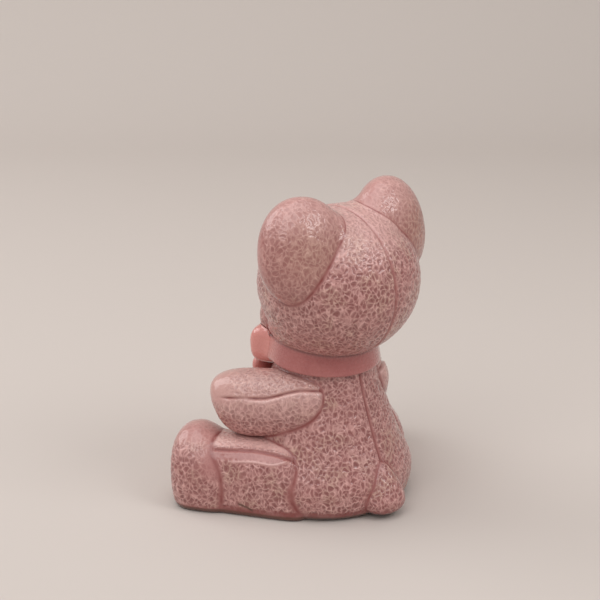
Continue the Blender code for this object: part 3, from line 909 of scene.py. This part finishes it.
def plush_glaze():
    """Rose glaze that runs off the ridges of the relief and pools in its pits, over brown clay, with painted
    light on raised places and painted shade in joints and at the bottom.
    """
    material, tree, shader = new_glaze("rose_plush_glaze", 0.11)
    place = attribute(tree, "place", "Vector")
    plush = attribute(tree, "plush")
    crease = attribute(tree, "crease")
    wash = attribute(tree, "wash")
    height = relief_height(tree, place)
    patches = smooth_range(tree, noise(tree, place, PATCHES, 2.0, shift=0.9), 0.35, 0.65)
    olive = smooth_range(tree, noise(tree, place, OLIVE_PATCHES, 2.0, shift=2.1), 0.46, 0.70, 0.0, 0.5)
    olive = maths(tree, "MAXIMUM", olive, wash)
    grain = noise(tree, place, GRAIN, 2.0, roughness=0.6, shift=1.7)

    pit = mix_colours(tree, patches, *PIT_ROSES)
    ridge = mix_colours(tree, patches, *RIDGE_ROSES)
    ridge = mix_colours(tree, olive, ridge, OLIVE_RIDGE)
    above = maths(tree, "MAXIMUM", height, 0.0)
    textured = mix_colours(tree, maths(tree, "POWER", above, RIDGE_POWER), pit, ridge)
    smooth = mix_colours(tree, patches, *SMOOTH_ROSES)
    smooth = mix_colours(tree, wash, smooth, OLIVE_WASH)
    colour = mix_colours(tree, plush, smooth, textured)
    fine = smooth_range(tree, grain, 0.3, 0.7, 0.0, 0.14)
    colour = mix_colours(tree, fine, colour, GRAIN_ROSE)
    # Painted light: paler on the crown, on the tops of ears, arms, legs and feet, on the arm's lip and on
    # the leg's line.
    colour = mix_colours(tree, attribute(tree, "sheen"), colour, PAINTED_LIGHT_ROSE)
    # Pooled glaze and painted shade in joints, seams and the band near the ground, made uneven by a noise.
    uneven = smooth_range(tree, noise(tree, place, CREASE_PATCHES, 1.0, shift=4.1), 0.35, 0.62, 0.60, 1.0)
    colour = mix_colours(tree, maths(tree, "MULTIPLY", crease, uneven), colour, POOLED_AND_SHADED_ROSE)
    # Unglazed clay on the mould flake, and painted contact shadow as dark clay at the very bottom.
    colour = mix_colours(tree, attribute(tree, "bare"), colour, CLAY_AND_CONTACT_SHADOW)
    wire(tree, colour, shader.inputs["Base Color"])

    rough = smooth_range(tree, grain, 0.25, 0.75, 0.34, 0.50)
    wire(tree, rough, shader.inputs["Roughness"])
    shader.inputs["Specular IOR Level"].default_value = 0.22

    bump_glaze(tree, shader, maths(tree, "MULTIPLY", height, plush), 0.7)
    return material


def ribbon_glaze():
    """A deeper rose, paler on the bow and towards the front of the ribbon."""
    material, tree, shader = new_glaze("rose_ribbon_glaze", 0.05)
    place = attribute(tree, "place", "Vector")
    pooled = smooth_range(tree, noise(tree, place, RIBBON_POOLS, 3.0, shift=0.4), 0.35, 0.68)
    colour = mix_colours(tree, pooled, *RIBBON_ROSES)
    colour = mix_colours(tree, attribute(tree, "sheen"), colour, BOW_ROSE)
    # Pooled glaze and painted shade at the joints of the ribbon and the bow.
    colour = mix_colours(tree, attribute(tree, "crease"), colour, RIBBON_POOLED_AND_SHADED)
    wire(tree, colour, shader.inputs["Base Color"])
    rough = smooth_range(tree, noise(tree, place, RIBBON_GRAIN, 2.0, shift=1.1), 0.3, 0.7, 0.20, 0.34)
    wire(tree, rough, shader.inputs["Roughness"])
    bump_glaze(tree, shader, noise(tree, place, RIBBON_RIPPLE, 1.0, shift=3.3), 0.5)
    return material


def dark_glaze():
    """The brown-black glaze of the eyes and the nose."""
    material, tree, shader = new_glaze("dark_face_glaze", 0.04)
    place = attribute(tree, "place", "Vector")
    pooled = smooth_range(tree, noise(tree, place, FACE_POOLS, 3.0, shift=0.6), 0.35, 0.7)
    wire(tree, mix_colours(tree, pooled, *FACE_BROWNS), shader.inputs["Base Color"])
    rough = smooth_range(tree, noise(tree, place, FACE_GRAIN, 2.0, shift=1.9), 0.3, 0.7, 0.12, 0.24)
    wire(tree, rough, shader.inputs["Roughness"])
    return material


# Pieces.


def groove(piece, distance, normal, depth, width, share):
    """Cuts a seam along the line where distance is zero, with a soft lip on each side."""
    off = np.abs(distance)
    lip = SEAM_LIP * bell(off - SEAM_LIP_OFFSET * width, SEAM_LIP_SPREAD * width)
    sink = depth * bell(off, width) - lip
    piece.points -= (share * sink)[:, None] * normal
    piece.grooves.append((off, np.broadcast_to(share, off.shape)))


def seat(piece):
    """Presses a skin flat on the ground, and rounds the edge above it."""
    height = piece.points[:, 2]
    drop = np.clip(1 - height / BASE_EDGE, 0, 1)
    inset = BASE_EDGE * (1 - np.sqrt(1 - drop**2))
    _, way = piece.form.measure(piece.points)
    piece.points[:, :2] -= BASE_EDGE_SHARE * inset[:, None] * way[:, :2]
    piece.points[:, 2] = np.maximum(height, 0)


def add_object(name, data):
    obj = bpy.data.objects.new(name, data)
    bpy.context.scene.collection.objects.link(obj)
    return obj


def make_object(piece, attributes, material, modifier):
    """A casting's mesh with what it holds at each point, and its relief."""
    mesh = bpy.data.meshes.new(piece.name)
    mesh.from_pydata(piece.points.tolist(), [], piece.quads.tolist())
    mesh.shade_smooth()
    for name, values in attributes.items():
        kind = "FLOAT_VECTOR" if values.ndim == 2 else "FLOAT"
        layer = mesh.attributes.new(name, kind, "POINT")
        layer.data.foreach_set("vector" if values.ndim == 2 else "value", values.astype(np.float32).ravel())
    mesh.materials.append(material)
    obj = add_object(f"{piece.name}_glazed", mesh)
    if modifier:
        obj.modifiers.new("relief", "NODES").node_group = modifier
    return obj


def sew_arm(piece, base, way):
    """The seam along each side of an arm, over a fuller lower half, with painted light on the top of the arm
    and a painted highlight on the lip under the seam.
    """
    across, up, along = piece.form.local(base).T
    slope = math.radians(ARM_SEAM)
    distance = up * math.cos(slope) - np.abs(across) * math.sin(slope)
    distance -= ARM_SEAM_RISE * (1 - smoothstep(-15 * MM, 1 * MM, along)) + ARM_SEAM_DROP
    share = smoothstep(2 * MM, 6 * MM, np.abs(across))
    share *= 1 - 0.5 * bell(along - 7 * MM, 3 * MM) - 0.95 * smoothstep(12 * MM, 16 * MM, along)
    under = smoothstep(0.2 * MM, 2.0 * MM, -distance) * smoothstep(11 * MM, 4 * MM, -distance)
    piece.points += (share * ARM_SWELL * under)[:, None] * way
    groove(piece, distance, way, ARM_SEAM_DEPTH, ARM_SEAM_HALF_WIDTH, share)
    piece.plain = smoothstep(7 * MM, 15 * MM, along) * smoothstep(1 * MM, 5 * MM, up)
    piece.wash = 0.35 * smoothstep(2 * MM, 8 * MM, up)
    lip = share * bell(distance + ARM_LIP_DROP, ARM_LIP_HALF_WIDTH) * smoothstep(8 * MM, 2 * MM, along)
    piece.points += (ARM_LIP_HEIGHT * lip)[:, None] * way
    # Painted highlight on the lip, painted light on the top of the arm, and a little painted light all over.
    piece.sheen = 0.50 * lip + 0.34 * smoothstep(-6 * MM, 6 * MM, up) + 0.06


def sew_leg(piece, base, way):
    """The seam along the top of a leg, with a smooth band and a raised line under it, a painted highlight on
    the line, and painted light on the top of the leg above the seam.
    """
    across, up, along = piece.form.local(base).T
    turn = np.arctan2(up, across)
    radius = np.hypot(across, up)
    distance = (turn - math.radians(LEG_SEAM)) * radius - LEG_ARCH * bell(along + 6 * MM, 11 * MM)
    ends = smoothstep(-23 * MM, -19 * MM, along) * (1 - smoothstep(9 * MM, 11 * MM, along))
    groove(piece, distance, way, SEAM_DEPTH, SEAM_HALF_WIDTH, ends)
    hook = np.maximum(-10 * MM - along, 0) ** 2 / (18 * MM)
    line = distance + LEG_BAND - hook
    span = smoothstep(-18 * MM, -16 * MM, along) * (1 - smoothstep(0 * MM, 6 * MM, along))
    ridge = bell(line, LEG_LINE_HALF_WIDTH)
    piece.points += (span * LEG_LINE_HEIGHT * ridge)[:, None] * way
    band = smoothstep(0.2 * MM, 0.9 * MM, line) * smoothstep(0.8 * MM, 0.1 * MM, distance) * ends
    piece.plain = np.maximum(band, span * bell(line, 0.6 * MM))
    # Painted highlight on the raised line, and painted light on the top of the leg above the seam, where the
    # arm casts shade.
    piece.sheen = 0.7 * span * bell(line, 0.36 * MM) + 0.65 * smoothstep(0.5 * MM, 2.5 * MM, distance)
    if not isinstance(piece.form, Mirrored):
        flake = trail_distance(along, base[:, 2], MOULD_FLAKE)
        flake = np.where(across > 5 * MM, bell(flake, FLAKE_HALF_WIDTH), 0)
        piece.points -= (FLAKE_DEPTH * flake)[:, None] * way
        piece.bare = flake


def trail_distance(x, y, trail):
    """How far each flat place is from a line through the trail's corners, which are in millimetres."""
    nearest = np.full(len(x), FAR)
    for (x0, y0), (x1, y1) in zip(trail, trail[1:]):
        dx, dy = (x1 - x0) * MM, (y1 - y0) * MM
        share = np.clip(((x - x0 * MM) * dx + (y - y0 * MM) * dy) / (dx * dx + dy * dy), 0, 1)
        nearest = np.minimum(nearest, np.hypot(x - x0 * MM - share * dx, y - y0 * MM - share * dy))
    return nearest


def smooth_ear(piece, base):
    """An ear is smoother round its rim and in front, its back has an olive wash, and painted light makes its
    top paler.
    """
    across, up, along = piece.form.local(base).T
    rim = smoothstep(-4.5 * MM, 0.5 * MM, along)
    piece.plain = 0.75 * rim
    piece.wash = 0.55 * bell(np.hypot(across, up), 13 * MM) * (1 - rim)
    # Painted light on the top of the ear.
    piece.sheen = 0.26 * smoothstep(1 * MM, 14 * MM, up)


def smooth_foot(piece, base):
    """The instep and the top of a foot are smoother, and painted light makes its top paler."""
    _, up, along = piece.form.local(base).T
    instep = smoothstep(1 * MM, -5 * MM, along) * smoothstep(0, 9 * MM, up)
    piece.plain = np.maximum(instep, 0.8 * smoothstep(13 * MM, 17 * MM, up))
    # Painted light on the top of the foot.
    piece.sheen = 0.22 * smoothstep(6 * MM, 16 * MM, up)


def sew(piece, base, way):
    """The seams of a casting, what is plain or washed on it, and where light is painted on it."""
    kind = piece.name
    if kind == "torso":
        groove(piece, base[:, 0] - AXIS[0], way, SEAM_DEPTH, SEAM_HALF_WIDTH, 1.0)
    if kind == "head":
        groove(piece, base[:, 0] - AXIS[0], way, HEAD_SEAM_DEPTH, SEAM_HALF_WIDTH, HEAD_SEAM_SHARE)
        # Painted light on the crown, partly also a thinner, paler glaze there.
        piece.sheen = 0.42 * smoothstep(9 * MM, 23 * MM, base[:, 2] - HEAD_CENTRE[2])
    if kind.endswith("_arm"):
        sew_arm(piece, base, way)
    if kind.endswith("_leg"):
        sew_leg(piece, base, way)
    if kind.endswith("_ear"):
        smooth_ear(piece, base)
    if kind.endswith("_foot"):
        smooth_foot(piece, base)


def dress(piece, others, material, modifier):
    """Blends a casting with its neighbours, sews and seats it, and makes its object."""
    base = piece.points.copy()
    gap, joint = soften(piece, others)
    sew(piece, base, normals(piece.points, piece.quads))
    kind = piece.name
    if kind in ("torso", "tail") or kind.endswith(("_leg", "_foot")):
        seat(piece)
    place = piece.points.copy()

    # Joints are darker, more so where they are tight: pooled glaze and painted shade.
    tight = smoothstep(3 * MM, 0.5 * MM, piece.form.softness(base))
    crease = bell(np.maximum(joint, 0), 0.55 * MM) * (0.2 + 0.8 * tight)
    plush = piece.plush * smoothstep(0.1 * MM, 1.1 * MM, gap) * (1 - 0.85 * piece.plain)
    # Seams are darker too, pooled glaze and painted shade, and lose their relief.
    for off, share in piece.grooves:
        crease = np.maximum(crease, share * bell(off, SEAM_SHADE))
        plush *= 1 - share * (1 - smoothstep(0.3 * MM, 1.1 * MM, off))
    if piece.slot == "rose_glaze":
        plush *= smoothstep(1.2 * MM, 4.0 * MM, place[:, 2])
        # Painted contact shadow at the very bottom, drawn as dark unglazed clay.
        piece.bare = np.maximum(piece.bare, 0.85 * smoothstep(2.6 * MM, 1.6 * MM, place[:, 2]))
        # A darker band near the ground: pooled glaze and painted contact shadow.
        band = FOOT_BAND if kind.endswith("_foot") else BASE_BAND
        crease = np.maximum(crease, 0.9 * smoothstep(band, band - 1 * MM, place[:, 2]))
    elif kind.startswith("bow_"):
        piece.sheen += 1
        crease *= 0.4
    elif kind == "neck_ribbon":
        piece.sheen += 0.8 * smoothstep(0, -15 * MM, place[:, 1] - AXIS[1])
    attributes = {"place": place, "plush": plush, "crease": crease}
    attributes.update(sheen=piece.sheen, bare=piece.bare, wash=piece.wash)
    obj = make_object(piece, attributes, material, modifier)
    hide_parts(kind)
    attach(obj, "root")


def build_bear():
    ear, arm, leg = ear_form(), arm_form(), leg_form()
    foot, muzzle, loop, bow_tail = foot_form(leg), muzzle_form(), loop_form(), bow_tail_form()
    pieces = [
        Piece("torso", Torso(), torso_skin(), "rose_glaze", 1),
        Piece("head", Head(), head_skin(), "rose_glaze", 1),
        Piece("neck_ribbon", Band(), band_skin(), "ribbon_glaze", 0),
    ]
    # A node, its form, the rows of its skin, its slot and how plush it is.
    for node, form, rows, slot, plush in (
        ("muzzle", muzzle, 56, "rose_glaze", 1),
        ("tail", tail_form(), 44, "rose_glaze", 1),
        ("nose", nose_form(muzzle), 20, "dark_glaze", 0),
        ("bow_knot", knot_form(), 24, "ribbon_glaze", 0),
    ):
        pieces.append(Piece(node, form, pebble_skin(form, rows), slot, plush))
    for node, form, rows, slot, plush in (
        ("{}_ear", ear, 88, "rose_glaze", 0.6),
        ("{}_arm", arm, 84, "rose_glaze", 1),
        ("{}_leg", leg, 90, "rose_glaze", 1),
        ("{}_foot", foot, 80, "rose_glaze", 1),
        ("{}_eye", eye_form(), 14, "dark_glaze", 0),
        ("bow_{}_loop", loop, 36, "ribbon_glaze", 0),
        ("bow_{}_tail", bow_tail, 36, "ribbon_glaze", 0),
    ):
        pieces.append(Piece(node.format("left"), form, pebble_skin(form, rows), slot, plush))
        mirror = Mirrored(form)
        pieces.append(Piece(node.format("right"), mirror, pebble_skin(mirror, rows), slot, plush))

    skins = {"rose_glaze": plush_glaze(), "ribbon_glaze": ribbon_glaze(), "dark_glaze": dark_glaze()}
    relief = relief_modifier()
    for piece in pieces:
        others = [other for other in pieces if other is not piece]
        modifier = relief if piece.slot == "rose_glaze" else None
        dress(piece, others, skins[piece.slot], modifier)


# Studio.


def studio_paper():
    material, _, shader = new_material("studio_paper")
    shader.inputs["Base Color"].default_value = PAPER
    shader.inputs["Roughness"].default_value = 0.9
    shader.inputs["Specular IOR Level"].default_value = 0.1
    return material


def build_floor():
    """A sweep of paper: a level floor that bends up into a backdrop behind the bear."""
    bend, near_edge, far_edge, half_width, top = 0.25, -5.0, 0.55, 4.0, 1.3
    steps = 12
    profile = [(near_edge, 0.0), (far_edge, 0.0)]
    for step in range(1, steps + 1):
        angle = math.pi / 2 * step / steps
        profile.append((far_edge + bend * math.sin(angle), bend * (1 - math.cos(angle))))
    profile.append((far_edge + bend, top))
    azimuth = math.radians(CAMERA_AZIMUTH)
    away = Vector((-math.sin(azimuth), math.cos(azimuth), 0))
    side = Vector((math.cos(azimuth), math.sin(azimuth), 0))
    points = []
    for run, rise in profile:
        for width in (-half_width, half_width):
            points.append(away * run + side * width + Vector((0, 0, rise)))
    faces = [(2 * i, 2 * i + 1, 2 * i + 3, 2 * i + 2) for i in range(len(profile) - 1)]
    mesh = bpy.data.meshes.new("studio_sweep")
    mesh.from_pydata(points, [], faces)
    mesh.shade_smooth()
    mesh.materials.append(studio_paper())
    floor = add_object("studio_sweep", mesh)


CAMERA_AZIMUTH, CAMERA_ELEVATION = 137, 19
CAMERA_TARGET = Vector((0.0106, -0.0025, 0.0770))
CAMERA_DISTANCE = 0.56
CAMERA_LENS = 92.6
LAMP_TARGET = Vector((0, 0, 0.06))


def camera_axes():
    """The camera's right, up and back directions."""
    azimuth, elevation = math.radians(CAMERA_AZIMUTH), math.radians(CAMERA_ELEVATION)
    level = math.cos(elevation)
    back = Vector((math.sin(azimuth) * level, -math.cos(azimuth) * level, math.sin(elevation)))
    right = Vector((math.cos(azimuth), math.sin(azimuth), 0))
    return right, back.cross(right), back


def aim(obj, target, back, distance):
    """Puts a camera or lamp at a distance from its target, looking at it."""
    obj.location = target + back * distance
    obj.rotation_mode = "QUATERNION"
    obj.rotation_quaternion = (-back).to_track_quat("-Z", "Y")


def build_camera():
    data = bpy.data.cameras.new("camera")
    data.lens = CAMERA_LENS
    data.sensor_width = 36
    camera = add_object("camera", data)
    aim(camera, CAMERA_TARGET, camera_axes()[2], CAMERA_DISTANCE)
    bpy.context.scene.camera = camera


def build_lamp(name, way, distance, size, watts):
    """A square soft box. way is given along the camera's right, up and back."""
    right, up, back = camera_axes()
    direction = (right * way[0] + up * way[1] + back * way[2]).normalized()
    data = bpy.data.lights.new(name, "AREA")
    data.shape = "RECTANGLE"
    data.size = data.size_y = size
    data.energy = watts
    aim(add_object(name, data), LAMP_TARGET, direction, distance)


def build_light():
    build_lamp("key", (0.62, 0.55, 0.56), 0.9, 0.35, 1.7)
    build_lamp("back_left", (-0.74, 0.62, -0.10), 0.9, 0.60, 2.4)
    build_lamp("overhead", (-0.05, 0.95, 0.3), 0.72, 0.6, 1.35)
    build_lamp("fill", (-0.35, 0.65, 0.9), 1.2, 0.7, 3.0)
    world = bpy.data.worlds.new("studio")
    world.use_nodes = True
    sky = world.node_tree.nodes["Background"]
    sky.inputs["Color"].default_value = (1.0, 0.98, 0.96, 1)
    sky.inputs["Strength"].default_value = 0.55
    bpy.context.scene.world = world


bpy.context.scene.view_settings.view_transform = "Standard"
build_camera()
build_light()
build_floor()
build_bear()
